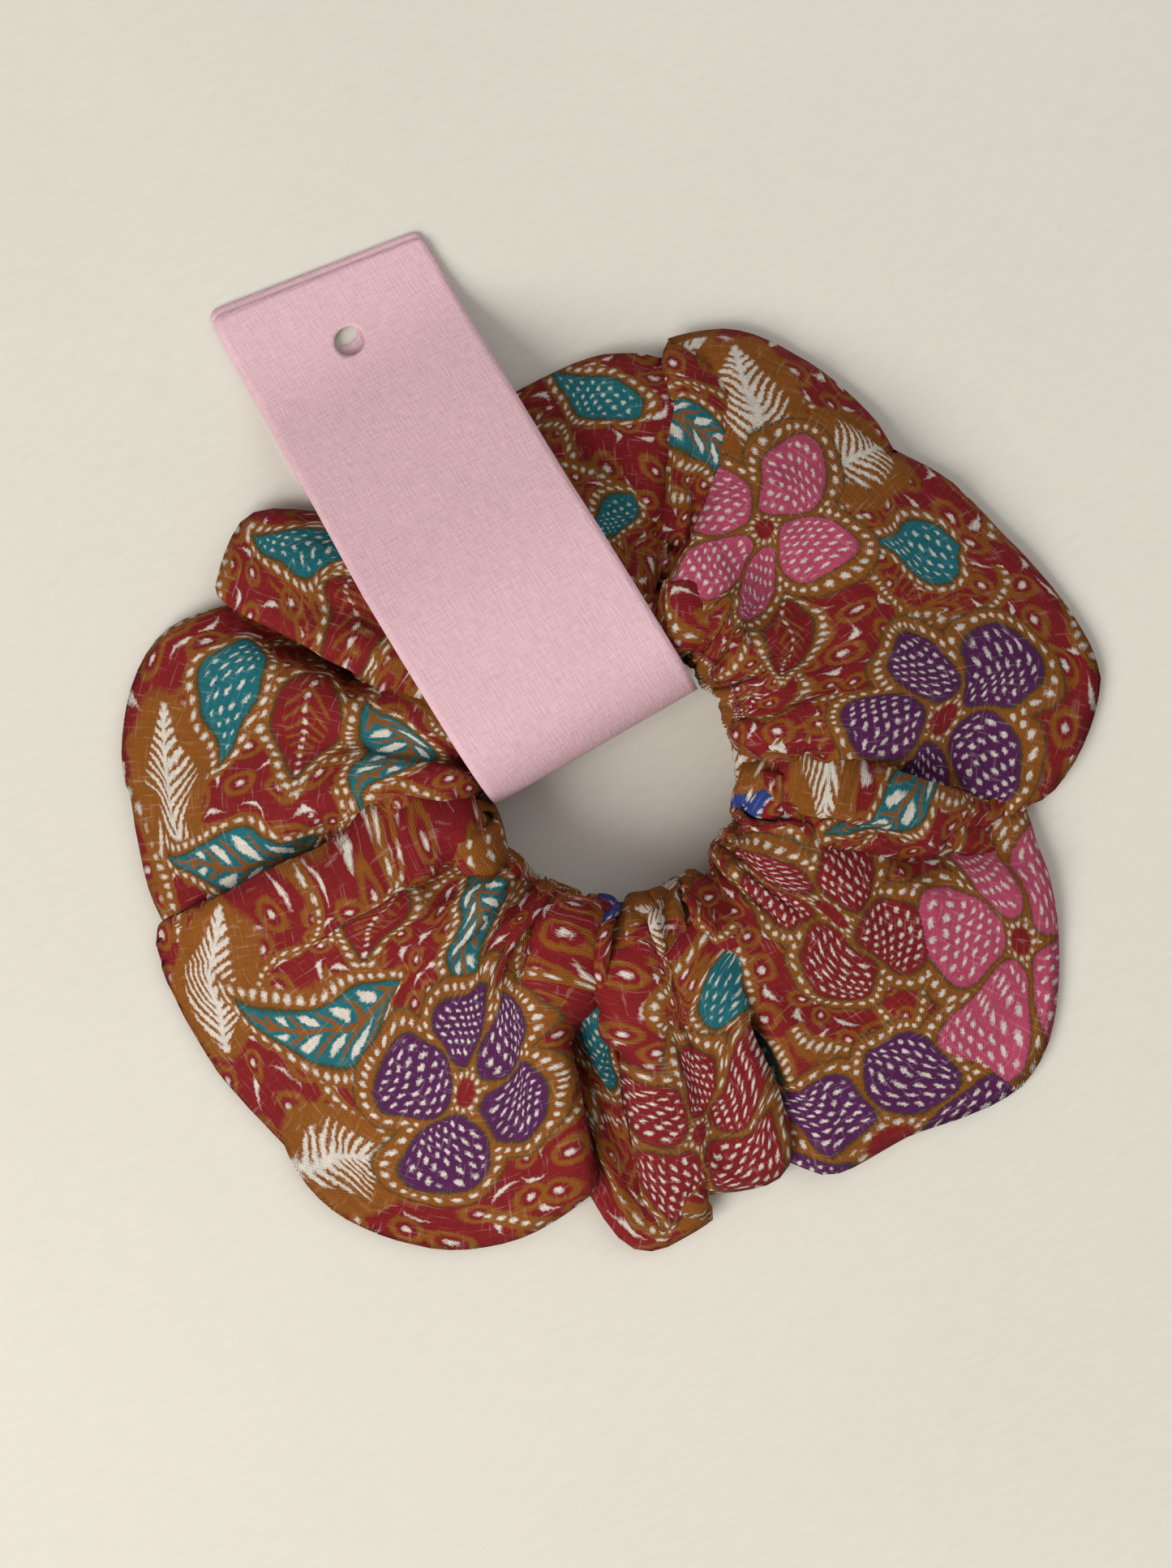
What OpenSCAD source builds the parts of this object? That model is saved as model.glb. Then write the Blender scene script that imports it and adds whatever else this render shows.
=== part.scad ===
// Scrunchie: a gathered cloth tube on a sewn elastic loop, with a folded card hang tag round it.
// Millimetres. +Z is up, the scrunchie lies on the plane z = 0, and +Y runs along the tag to its hole.

/* [Cover] */
// Outside diameter of the gathered cloth ring
cover_d = 118; // [96:1:142]
// Width of the opening for the hair, at its narrowest
opening_d = 32; // [31:1:44]
// Height of the gathered cloth over the elastic
body_h = 19; // [14:1:26]
// Height of the cloth at the outer edge
rim_h = 3.4; // [3.2:0.1:6]
// Thickness of the gathered cloth wall
cover_wall = 1.6; // [1.2:0.1:2]
// Number of pleats round the ring
pleats = 24; // [12:1:30]
// Depth of the valley between two pleats
pleat_depth = 0.8; // [0.4:0.1:1]
// Width of the raw edges turned inside at the long seam
seam_allowance = 5; // [3:0.5:7]
// Thickness of the cloth itself
cloth_t = 0.3; // [0.2:0.05:0.4]

/* [Elastic] */
// Length of the elastic loop once its ends are joined
elastic_loop = 160; // [150:1:175]
// Width of the elastic
elastic_w = 5; // [3:0.5:6]
// Thickness of the elastic
elastic_t = 1.2; // [0.8:0.1:1.5]
// Length over which the ends of the elastic lap
elastic_lap = 12; // [8:1:18]

/* [Thread] */
// Diameter of the sewing thread
thread_d = 0.4; // [0.25:0.05:0.45]
// Stitches in the zigzag that joins the elastic
zigzag_stitches = 8; // [4:2:12]

/* [Hang tag] */
// Width of the card strip
card_w = 29; // [16:0.5:29]
// Thickness of the card
card_t = 0.3; // [0.2:0.05:0.5]
// Length over which the two leaves lie on each other, past the ring
tag_land = 12.5; // [12.5:0.5:30]
// How much shorter the front leaf is than the back leaf
leaf_step = 1; // [0:0.5:3]
// Distance from the middle of the ring to the bend of the card
bend_setback = 4; // [3:0.1:6]
// Diameter of the hanging hole
tag_hole_d = 5; // [4:0.5:6]
// Distance from the end of the back leaf to the middle of the hanging hole
tag_hole_inset = 9.5; // [6:0.5:9.5]

/* [Clearances] */
// Gap between the cloth and the card, so that the tag slides round the ring
tag_gap = 0.35; // [0.3:0.05:0.6]
// Gap between the two leaves where they lie on each other
leaf_gap = 0.1; // [0.1:0.05:0.4]
// Half the gap between the two leaves at the crease
crease_gap = 0.3; // [0.3:0.05:0.5]
// Gap round a thread that lies in the cloth
thread_gap = 0.04; // [0.02:0.01:0.08]

/* [Hidden] */

arc_fn = 48;
overshoot = 1;             // how far a cutter passes the face that it cuts
cloth_colour = "firebrick";
elastic_colour = "white";
thread_colour = "darkred";
card_colour = "pink";

// The cloth ring's section is a teardrop: a nose circle at the opening and a rim circle at the outer edge.
cover_z = card_t + tag_gap;
nose_r = body_h / 2;
rim_r = max(rim_h / 2, cover_wall + 2 * thread_gap);   // room for the wall and the threads in it
nose_at = opening_d / 2 + nose_r;
rim_at = cover_d / 2 - rim_r;
slope = -2 * atan2(nose_r - rim_r, rim_at - nose_at);   // of the top face, falling outwards
crest_normal = 90 + slope;

// The elastic runs round the middle of the nose, and its outer end laps over its inner end.
elastic_r = elastic_loop / (2 * PI);
elastic_z = cover_z + nose_r;
lap_angle = elastic_lap / elastic_r * 180 / PI;
rib_depth = 0.1;
ribs = 5;

// The long seam runs along the inside of the top face, a little outside the elastic and its lap.
seam_r = elastic_r + 1.5 * elastic_t + 2 * thread_d + 2 * cloth_t;
seam_roof = top_face_z(seam_r, cover_wall);

// The closing seam crosses the ring under the tag, on the land between two pleats.
closing_angle = 90 + 180 / pleats;

// The card's middle line: a bend through the opening, and a front leaf that follows the cloth down.
bend_r = (body_h + 2 * tag_gap + card_t) / 2;
bend_z = card_t / 2 + bend_r;
bend_y = bend_setback + bend_r;
crease_angle = crease_gap / bend_r * 180 / PI;
front_z = 1.5 * card_t + leaf_gap;
foot_drop = 60;            // how steeply the front leaf falls past the ring's outer edge
foot_r = 3;                // radius where the front leaf turns level at its foot
over_rim_r = rim_r + tag_gap + card_t / 2;
over_rim = [rim_at, cover_z + rim_r] + over_rim_r * [sin(foot_drop), cos(foot_drop)];
foot_y = over_rim[0] + (over_rim[1] - front_z) / tan(foot_drop) + foot_r * tan(foot_drop / 2);
tag_reach = foot_y + tag_land;   // from the ring's axis to the end of the back leaf

// The ring's axis stands off the origin, which is the middle of the whole footprint.
ring_y = (cover_d / 2 - tag_reach) / 2;

// Points of an arc from angle a to angle b.
function arc(centre, r, a, b, steps = arc_fn / 2) =
    [for (i = [0:steps]) let (t = a + (b - a) * i / steps) centre + r * [cos(t), sin(t)]];

// Height of the top face at radius r, with the face moved in by inset: round over the nose, then straight.
function top_face_z(r, inset = 0) =
    let (round_r = nose_r - inset, out = r - nose_at)
    cover_z + nose_r + (
        out < round_r * cos(crest_normal)
        ? sqrt(pow(round_r, 2) - pow(out, 2))
        : (round_r - out * cos(crest_normal)) / sin(crest_normal)
    );

// The outline of the cloth ring's section, moved in by inset.
function section(inset = 0) = concat(
    arc([nose_at, cover_z + nose_r], nose_r - inset, crest_normal, 270),
    arc([rim_at, cover_z + rim_r], max(rim_r - inset, 0.05), -90, crest_normal, 16)
);

module on_ring() {
    translate([0, ring_y, 0]) children();
}

module ring_of_section(outer, inner) {
    rotate_extrude($fn = 144)
        difference() {
            polygon(section(outer));
            polygon(section(inner));
        }
}

// One valley, cut along the top face from just outside the crest to the outer edge.
module pleat_valley() {
    valley_r = 4;
    start = 1.5;
    lift = valley_r - pleat_depth;
    translate([nose_at, 0, cover_z + nose_r])
        rotate([0, 90 - crest_normal, 0])
            translate([start, 0, nose_r + lift])
                rotate([0, 90, 0])
                    cylinder(r = valley_r, h = cover_d / 2, $fn = 32);
}

// A loop that follows the section round, as wide as the thread, for the seam that closes the tube.
module closing_loop(inset, play) {
    rotate([0, 0, closing_angle])
        rotate([90, 0, 0])
            translate([0, 0, -thread_d / 2 - play])
                linear_extrude(thread_d + 2 * play)
                    difference() {
                        polygon(section(inset - play));
                        polygon(section(inset + thread_d + play));
                    }
}

// The strip's two raw edges, turned inside and hanging from the roof of the tube at the long seam.
module seam_edges() {
    rotate_extrude($fn = 144)
        translate([seam_r - cloth_t, seam_roof - seam_allowance])
            square([2 * cloth_t, seam_allowance + cover_wall / 2]);
}

module cover() {
    color(cloth_colour)
        on_ring()
            difference() {
                union() {
                    ring_of_section(0, cover_wall);
                    seam_edges();
                }
                for (i = [0:pleats - 1])
                    rotate([0, 0, 90 + i * 360 / pleats]) pleat_valley();
                closing_loop(thread_gap, thread_gap + 0.01);
                closing_loop(cover_wall - thread_d - thread_gap, thread_gap + 0.01);
            }
}

// The elastic's section, ribbed along both faces, from inner radius r0.
function rib_side(r, dir) = [
    for (i = [0:2 * ribs]) [r + dir * rib_depth * (i % 2), (i / (2 * ribs) - 0.5) * elastic_w]
];

module elastic_section(r0) {
    outer = rib_side(r0 + elastic_t, -1);
    inner = rib_side(r0, 1);
    translate([0, elastic_z])
        polygon(concat(outer, [for (i = [2 * ribs:-1:0]) inner[i]]));
}

module elastic_band() {
    color(elastic_colour)
        on_ring() {
            rotate_extrude($fn = 144) elastic_section(elastic_r - elastic_t / 2);
            rotate([0, 0, -lap_angle / 2])
                rotate_extrude(angle = lap_angle, $fn = 144)
                    elastic_section(elastic_r + elastic_t / 2 - rib_depth);
        }
}

// A zigzag of straight stitches, square in section, laid on a face of radius r.
module zigzag(r) {
    reach = elastic_w * 0.34;
    turn = lap_angle * 0.8 / zigzag_stitches;
    across = 2 * reach;
    along = r * turn * PI / 180;
    for (i = [0:zigzag_stitches - 1])
        rotate([0, 0, turn * (i + 0.5 - zigzag_stitches / 2)])
            translate([r, 0, elastic_z])
                rotate([(i % 2 == 0 ? 1 : -1) * atan2(along, across), 0, 0])
                    cube([thread_d, thread_d, norm([along, across]) + thread_d / 2], center = true);
}

module elastic_zigzag_needle_thread() {
    color(thread_colour)
        on_ring() zigzag(elastic_r + 1.5 * elastic_t - rib_depth + thread_d / 2 + thread_gap);
}

module elastic_zigzag_bobbin_thread() {
    color(thread_colour)
        on_ring() zigzag(elastic_r - elastic_t / 2 - thread_d / 2 - thread_gap);
}

// A thread that runs right round the ring, beside the turned-in edges and just under the cloth.
module seam_ring(side) {
    room = thread_d / 2 + 2 * thread_gap;
    at_r = seam_r + side * (cloth_t + thread_d / 2 + thread_gap);
    roof = min(top_face_z(at_r - room, cover_wall), top_face_z(at_r + room, cover_wall));
    rotate_extrude($fn = 144)
        translate([at_r, roof - room])
            circle(d = thread_d, $fn = 24);
}

module long_seam_needle_thread() {
    color(thread_colour) on_ring() seam_ring(1);
}

module long_seam_bobbin_thread() {
    color(thread_colour) on_ring() seam_ring(-1);
}

module closing_seam_needle_thread() {
    color(thread_colour) on_ring() closing_loop(thread_gap, 0);
}

module closing_seam_bobbin_thread() {
    color(thread_colour) on_ring() closing_loop(cover_wall - thread_d - thread_gap, 0);
}

// Each leaf's outline in the plane of the tag's length and height, with the card's two faces at side -1 and 1.
function back_face(side) =
    let (off = side * card_t / 2)
    concat(
        [[tag_reach, card_t / 2 - off]],
        arc([bend_y, bend_z], bend_r + off, 270, 180 + crease_angle)
    );

function front_face(side) =
    let (off = side * card_t / 2)
    concat(
        arc([bend_y, bend_z], bend_r + off, 180 - crease_angle, 90),
        arc([nose_at, bend_z], bend_r + off, 90, crest_normal, 8),
        arc([rim_at, cover_z + rim_r], over_rim_r + off, crest_normal, 90 - foot_drop, 8),
        arc([foot_y, front_z + foot_r], foot_r - off, 270 - foot_drop, 270, 8),
        [[tag_reach - leaf_step, front_z + off]]
    );

module card(faces) {
    outline = concat(faces[0], [for (i = [len(faces[1]) - 1:-1:0]) faces[1][i]]);
    on_ring()
        difference() {
            rotate([90, 0, 90])
                translate([0, 0, -card_w / 2])
                    linear_extrude(card_w) polygon(outline);
            translate([0, tag_reach - tag_hole_inset, -overshoot])
                cylinder(d = tag_hole_d, h = front_z + card_t + 2 * overshoot, $fn = 48);
        }
}

module tag_back_leaf() {
    color(card_colour) card([back_face(-1), back_face(1)]);
}

module tag_front_leaf() {
    color(card_colour) card([front_face(-1), front_face(1)]);
}

cover();
elastic_band();
elastic_zigzag_needle_thread();
elastic_zigzag_bobbin_thread();
long_seam_needle_thread();
long_seam_bobbin_thread();
closing_seam_needle_thread();
closing_seam_bobbin_thread();
tag_back_leaf();
tag_front_leaf();
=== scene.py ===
"""A gathered batik-cotton scrunchie with a folded card hang tag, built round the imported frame."""

import math

import bpy
import numpy as np
from bpy.props import FloatProperty, FloatVectorProperty, IntProperty, PointerProperty
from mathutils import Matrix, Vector


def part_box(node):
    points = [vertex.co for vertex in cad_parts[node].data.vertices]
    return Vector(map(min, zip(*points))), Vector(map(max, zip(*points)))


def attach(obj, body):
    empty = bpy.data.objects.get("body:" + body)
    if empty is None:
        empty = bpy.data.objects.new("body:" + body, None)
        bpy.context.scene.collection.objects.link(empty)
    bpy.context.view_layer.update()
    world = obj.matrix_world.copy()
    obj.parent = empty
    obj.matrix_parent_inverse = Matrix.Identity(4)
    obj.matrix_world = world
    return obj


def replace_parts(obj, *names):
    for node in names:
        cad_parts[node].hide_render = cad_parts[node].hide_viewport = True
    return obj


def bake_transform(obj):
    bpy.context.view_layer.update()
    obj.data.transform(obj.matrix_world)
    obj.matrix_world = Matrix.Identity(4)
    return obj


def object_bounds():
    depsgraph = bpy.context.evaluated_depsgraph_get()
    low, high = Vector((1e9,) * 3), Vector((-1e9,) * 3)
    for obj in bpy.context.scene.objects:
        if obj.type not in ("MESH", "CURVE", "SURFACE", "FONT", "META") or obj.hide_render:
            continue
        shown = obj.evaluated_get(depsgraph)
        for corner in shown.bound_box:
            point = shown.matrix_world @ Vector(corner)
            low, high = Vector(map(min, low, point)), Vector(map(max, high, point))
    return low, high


bl_info = {
    "name": "Gathered Scrunchie",
    "version": (1, 0, 0),
    "blender": (4, 5, 0),
    "location": "3D View > Sidebar > Scrunchie",
    "description": "Builds a gathered cotton scrunchie, its stitching and its card hang tag",
    "category": "Add Mesh",
}

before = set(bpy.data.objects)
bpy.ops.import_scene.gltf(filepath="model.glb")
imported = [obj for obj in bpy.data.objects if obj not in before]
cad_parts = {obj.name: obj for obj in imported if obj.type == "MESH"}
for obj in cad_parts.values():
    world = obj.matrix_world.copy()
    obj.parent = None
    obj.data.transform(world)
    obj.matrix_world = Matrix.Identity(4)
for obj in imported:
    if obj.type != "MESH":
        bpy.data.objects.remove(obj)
cad_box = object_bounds()

MM = 0.001
RING_BODY = "scrunchie"
BACK_BODY = "tag_back"


# ---------------------------------------------------------------- settings


def metres(name, description, value):
    """A setting in metres."""
    return FloatProperty(name=name, description=description, default=value, unit="LENGTH")


def dye(name, description, value):
    """A colour setting."""
    return FloatVectorProperty(name=name, description=description, default=value, subtype="COLOR")


class ClothSettings(bpy.types.PropertyGroup):
    strip_length: metres("Strip length", "Length of the cotton strip round the ring", 0.50)
    strip_width: metres("Strip width", "Width of the cotton strip round the tube", 0.11)
    columns: IntProperty(name="Columns", description="Mesh columns along the strip", default=336, min=60)
    rows: IntProperty(name="Rows", description="Mesh rows round the tube", default=56, min=16)
    loft: metres("Loft", "Height of the gathered cloth near the opening", 0.0165)
    gap: metres("Gap", "Height of the lowest cloth over the table", 0.0008)
    thickness: metres("Cloth thickness", "Thickness of the cotton", 0.0003)
    seam_from_edge: metres("Seam place", "Least distance of the long seam from the inner edge", 0.0045)


class PrintSettings(bpy.types.PropertyGroup):
    crimson: dye("Crimson", "Ground of the print", (0.19, 0.007, 0.009))
    ochre: dye("Ochre", "Bands and rings of the print", (0.225, 0.070, 0.006))
    teal: dye("Teal", "Leaves of the print", (0.007, 0.125, 0.15))
    white: dye("White", "Waxed dots and fronds", (0.62, 0.57, 0.50))
    purple: dye("Purple", "Flowers of the print", (0.078, 0.010, 0.070))
    pink: dye("Pink", "Flowers of the print", (0.43, 0.060, 0.125))
    blue: dye("Blue", "Patches of the print", (0.022, 0.045, 0.21))
    olive: dye("Olive", "Stems and edges of the print", (0.045, 0.043, 0.010))


class CardSettings(bpy.types.PropertyGroup):
    colour: dye("Card colour", "Colour of the card", (0.70, 0.45, 0.50))
    thickness: metres("Card thickness", "Thickness of the card", 0.0003)


class StageSettings(bpy.types.PropertyGroup):
    distance: metres("Camera height", "Height of the camera over the table", 0.36)
    view_width: metres("View width", "Width of the table that the camera sees", 0.1505)
    roll: FloatProperty(
        name="Roll", description="Turn of the tag from the top of the view", default=math.radians(29.8),
        subtype="ANGLE",
    )


# ---------------------------------------------------------------- shader expressions


class Sock:
    """A node's output that takes part in Python arithmetic."""

    def __init__(self, graph, output):
        self.graph = graph
        self.output = output

    def __add__(self, other):
        return self.graph.maths("ADD", self, other)

    def __radd__(self, other):
        return self.graph.maths("ADD", other, self)

    def __sub__(self, other):
        return self.graph.maths("SUBTRACT", self, other)

    def __rsub__(self, other):
        return self.graph.maths("SUBTRACT", other, self)

    def __mul__(self, other):
        return self.graph.maths("MULTIPLY", self, other)

    def __rmul__(self, other):
        return self.graph.maths("MULTIPLY", other, self)

    def __truediv__(self, other):
        return self.graph.maths("DIVIDE", self, other)

    def __neg__(self):
        return self.graph.maths("MULTIPLY", self, -1.0)

    def __abs__(self):
        return self.graph.maths("ABSOLUTE", self)


class Graph:
    """The nodes of one material."""

    def __init__(self, name):
        self.material = bpy.data.materials.new(name)
        self.material.use_nodes = True
        self.tree = self.material.node_tree
        self.shader = self.tree.nodes["Principled BSDF"]

    def link(self, value, socket):
        if isinstance(value, Sock):
            self.tree.links.new(value.output, socket)
        else:
            socket.default_value = value

    def node(self, kind, settings=None, inputs=None):
        """Adds a node: its settings first, then the values or links of its sockets."""
        made = self.tree.nodes.new(kind)
        for key, value in (settings or {}).items():
            setattr(made, key, value)
        for key, value in (inputs or {}).items():
            socket = made.inputs[key] if isinstance(key, int) else next(
                s for s in made.inputs if key in (s.name, s.identifier) and s.enabled
            )
            self.link(value, socket)
        return made

    def out(self, made, name):
        return Sock(self, next(s for s in made.outputs if name in (s.name, s.identifier) and s.enabled))

    def maths(self, operation, *values):
        made = self.node("ShaderNodeMath", {"operation": operation}, dict(enumerate(values)))
        return Sock(self, made.outputs[0])

    def mix(self, factor, under, over):
        """Lays colour over on colour under, as strongly as factor says."""
        sockets = {"Factor_Float": factor, "A_Color": colour(under), "B_Color": colour(over)}
        made = self.node("ShaderNodeMix", {"data_type": "RGBA"}, sockets)
        return self.out(made, "Result_Color")

    def tint(self, base, factor):
        """Multiplies a colour by a number."""
        base = base if isinstance(base, Sock) else tuple(base)[:3]
        made = self.node("ShaderNodeVectorMath", {"operation": "SCALE"}, {"Vector": base, "Scale": factor})
        return self.out(made, "Vector")

    def vector(self, x, y, z=0.0):
        return self.out(self.node("ShaderNodeCombineXYZ", None, {"X": x, "Y": y, "Z": z}), "Vector")

    def parts(self, vector):
        made = self.node("ShaderNodeSeparateXYZ", None, {"Vector": vector})
        return self.out(made, "X"), self.out(made, "Y")

    def noise(self, vector, scale, detail=2.0):
        inputs = {"Vector": vector, "Scale": scale, "Detail": detail}
        return self.node("ShaderNodeTexNoise", {"noise_dimensions": "2D"}, inputs)

    def grain(self, vector, scale=1.0, detail=2.0):
        """One number of noise."""
        return self.out(self.noise(vector, scale, detail), "Fac")

    def bump(self, height, distance, strength=1.0, under=None):
        inputs = {"Height": height, "Distance": distance, "Strength": strength}
        if under is not None:
            inputs["Normal"] = under
        return self.out(self.node("ShaderNodeBump", None, inputs), "Normal")

    def surface(self, **values):
        for name, value in values.items():
            self.link(value, self.shader.inputs[name.replace("_", " ").title().replace("Ior", "IOR")])
        return self.material


def colour(value):
    """A plain colour as the four numbers that a colour socket takes."""
    return value if isinstance(value, Sock) else (*tuple(value)[:3], 1.0)


class Fabric:
    """Shapes drawn on cloth: u runs along the strip and v across it, in millimetres."""

    def __init__(self, graph, u, v):
        self.graph = graph
        self.u = u
        self.v = v

    def inside(self, distance, soft=0.18):
        """1 where a signed distance is below zero, with a soft edge, as dye bleeds."""
        made = self.graph.node(
            "ShaderNodeMapRange",
            {"clamp": True},
            {"Value": distance, "From Min": soft, "From Max": -soft, "To Min": 0.0, "To Max": 1.0},
        )
        return self.graph.out(made, "Result")

    def saw(self, value, period):
        """Distance from the nearest middle of a repeat, from 0 to half a period."""
        return self.graph.maths("PINGPONG", value, period / 2)

    def hypot(self, x, y):
        return self.graph.maths("SQRT", x * x + y * y)

    def local(self, at_u, at_v, turn):
        """Coordinates about a motif's middle, turned with it."""
        du = self.u - at_u
        dv = self.v - at_v
        c, s = math.cos(turn), math.sin(turn)
        return du * c + dv * s, dv * c - du * s


# Where the print's motifs lie on the strip: millimetres along and across it, and the turn in radians.
FLOWER_PLACES = [
    ((209, 27, 0.4), "purple"), ((279, 30, 1.0), "crimson"), ((337, 18, 0.1), "crimson"),
    ((344, 45, 0.7), "pink"), ((320, 49, 0.3), "purple"), ((423, 29, 0.9), "purple"),
    ((465, 21, 0.2), "pink"), ((58, 66, 0.5), "purple"), ((150, 70, 0.0), "pink"),
    ((246, 73, 0.8), "crimson"), ((384, 70, 0.3), "purple"), ((450, 74, 0.6), "crimson"),
]
VINE_PLACES = [
    (195, 9, 2.1), (187, 34, -2.5), (131, 15, 1.45), (147, 37, -2.95), (308, 27, -0.14), (391, 24, -1.1),
    (359, 31, -0.25), (104, 66, 0.9), (200, 76, 2.0), (300, 76, 1.2), (416, 66, 0.5), (494, 64, 1.8),
]
BUD_PLACES = [
    (125, 38, 1.15), (447, 36, 0.5), (24, 40, 2.3), (23, 16, 0.6), (87, 40, 2.75), (60, 22, 1.0),
    (250, 18, 0.2), (372, 12, 1.4), (290, 12, 0.3), (176, 62, 0.7), (340, 66, 1.5), (12, 74, 0.4),
]
OVAL_PLACES = [
    (128, 27, 1.45), (446, 13, -0.9), (6, 31, 2.3), (93, 28, 1.4), (178, 19, 2.25), (160, 22, 0.3),
    (235, 42, 1.0), (374, 36, 0.2), (44, 36, 1.3), (402, 44, 0.8), (274, 66, 0.4), (476, 70, 1.2),
]
FROND_PLACES = [
    (175, 43, 2.25), (135, 45, 1.3), (199, 44, -2.5), (474, 38, -0.5), (460, 41, 0.3), (298, 42, 0.0),
    (112, 14, 0.8), (262, 44, 1.7), (70, 43, 0.5), (395, 8, 1.2), (488, 42, 1.0), (128, 82, 0.4),
    (220, 88, 1.2), (330, 86, 0.2),
]
# Fronds along the strip's other edge: millimetres along it, and the turn.
EDGE_FRONDS = [
    (20, 1.3), (62, -1.1), (104, 1.5), (150, 0.6), (196, -1.3), (236, 0.9), (281, 1.4), (300, -0.6),
    (345, 1.2), (395, -1.4), (409, 0.2), (452, 1.1), (486, -0.9),
]
FLOWER_RADIUS = 14.5    # mm
DOT_PITCH = 1.45        # mm, between the waxed dots that fill a petal or a leaf
THREAD_PITCH = 0.42     # mm, between two threads of the weave


def dotted(f, offset, along, period, size, stretch=1.0):
    """A row of waxed dots: offset is the distance from the row, along the distance on it."""
    return f.inside(f.hypot(f.saw(along, period) * stretch, offset) - size)


def nearest(f, places):
    """Coordinates about the nearest of several places (u, v, turn), and that place's number."""
    g = f.graph
    best = None
    for number, (at_u, at_v, turn) in enumerate(places):
        x, y = f.local(at_u, at_v, turn)
        found = [x, y, float(number), x * x + y * y]
        if best is None:
            best = found
            continue
        closer = g.maths("LESS_THAN", found[3], best[3])
        best = [old + (new - old) * closer for old, new in zip(best, found)]
    return best[:3]


def cells(f, size, randomness, shift=0.0):
    """Scattered middles: the coordinates about the nearest one, and two random numbers of its own."""
    g = f.graph
    made = g.node(
        "ShaderNodeTexVoronoi",
        {"voronoi_dimensions": "2D", "feature": "F1"},
        {"Vector": g.vector(f.u + shift, f.v + shift), "Scale": 1 / size, "Randomness": randomness},
    )
    middle_u, middle_v = g.parts(g.out(made, "Position"))
    return f.u + shift - middle_u, f.v + shift - middle_v, *g.parts(g.out(made, "Color"))


def draw_ground(f, inks):
    """Crimson with ochre rings and white commas, and dotted arcs that part it into fields."""
    g = f.graph
    x, y, _, _ = cells(f, 5.4, 0.5)
    r = f.hypot(x, y)
    paint = g.mix(f.inside(abs(r - 1.5) - 0.36), inks.crimson, inks.ochre)
    paint = g.mix(f.inside(r - 0.42), paint, inks.white)
    x, y, lean, _ = cells(f, 5.4, 0.5, 2.7)
    lean = (lean - 0.5) * 2.6
    c, s = g.maths("COSINE", lean), g.maths("SINE", lean)
    across, along = x * c + y * s, y * c - x * s
    comma = abs(across - along * along * 0.3) - (0.4 - abs(along) * 0.3)
    paint = g.mix(f.inside(comma) * f.inside(2.1 - r), paint, inks.white)
    for size, radius, shift in ((27.0, 10.0, 0.0), (31.0, 8.0, 11.0)):
        x, y, kind, turn = cells(f, size, 0.55, shift)
        d = f.hypot(x, y) - radius
        angle = g.maths("ARCTAN2", y, x)
        shown = g.maths("GREATER_THAN", g.maths("SINE", angle + turn * math.tau), -0.45)
        paint = g.mix(f.inside(abs(d) - 1.05) * shown, paint, inks.ochre)
        count = round(math.tau * radius / 1.35)
        row = dotted(f, d, angle * (count / math.tau), 1.0, 0.34, 1.35)
        paint = g.mix(row * shown, paint, inks.white)
        fern = f.inside(f.saw(x + abs(y) * 0.7, 1.9) - 0.3) * f.inside(d + 2.4)
        paint = g.mix(fern * g.maths("GREATER_THAN", kind, 0.62), paint, inks.ochre)
    return paint


def draw_flowers(f, inks, paint, places, inks_used, radius):
    """Five dotted petals round a ringed eye, at each place and in the ink of each."""
    g = f.graph
    x, y, number = nearest(f, places)
    ink = inks_used[0]
    for k in range(1, len(inks_used)):
        ink = g.mix(g.maths("COMPARE", number, float(k), 0.5), ink, inks_used[k])
    r = f.hypot(x, y)
    sector = math.tau / 5
    angle = g.maths("ARCTAN2", y, x)
    folded = g.maths("WRAP", angle, sector / 2, -sector / 2)
    along = r * g.maths("COSINE", folded) - radius * 0.6
    across = r * g.maths("SINE", folded)
    long_r, wide_r = radius * 0.41, radius * 0.335
    bulge = 1 + along * (0.5 / radius)
    e = f.hypot(along * (1 / long_r), across / (bulge * wide_r))
    d = (e - 1.0) * ((long_r + wide_r) / 2)
    spin = g.maths("ARCTAN2", across * (1 / wide_r), along * (1 / long_r))
    pitch = 1.38
    count = round(math.tau * (long_r + wide_r + 2.0) / 2 / pitch)
    row = f.inside(f.hypot(f.saw(spin * (count / math.tau), 1.0) * pitch, d - 1.05) - 0.34, 0.14)
    dots = f.hypot(f.saw(along + across * 0.2, DOT_PITCH), f.saw(across + along * 0.45, 1.3))
    dots = f.inside(dots - 0.31, 0.14)
    paint = g.mix(f.inside(d - 2.3), paint, inks.olive)
    paint = g.mix(f.inside(d - 2.05), paint, inks.ochre)
    paint = g.mix(row, paint, inks.white)
    paint = g.mix(f.inside(d - 0.1), paint, inks.olive)
    paint = g.mix(f.inside(d + 0.15), paint, ink)
    paint = g.mix(dots * f.inside(d + 0.75), paint, inks.white)
    eye = radius * 0.12
    paint = g.mix(f.inside(r - eye - 0.9), paint, inks.ochre)
    paint = g.mix(f.inside(r - eye), paint, inks.crimson)
    return g.mix(dotted(f, r - eye - 0.45, angle * (eye + 0.45), 1.2, 0.28), paint, inks.white)


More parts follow.
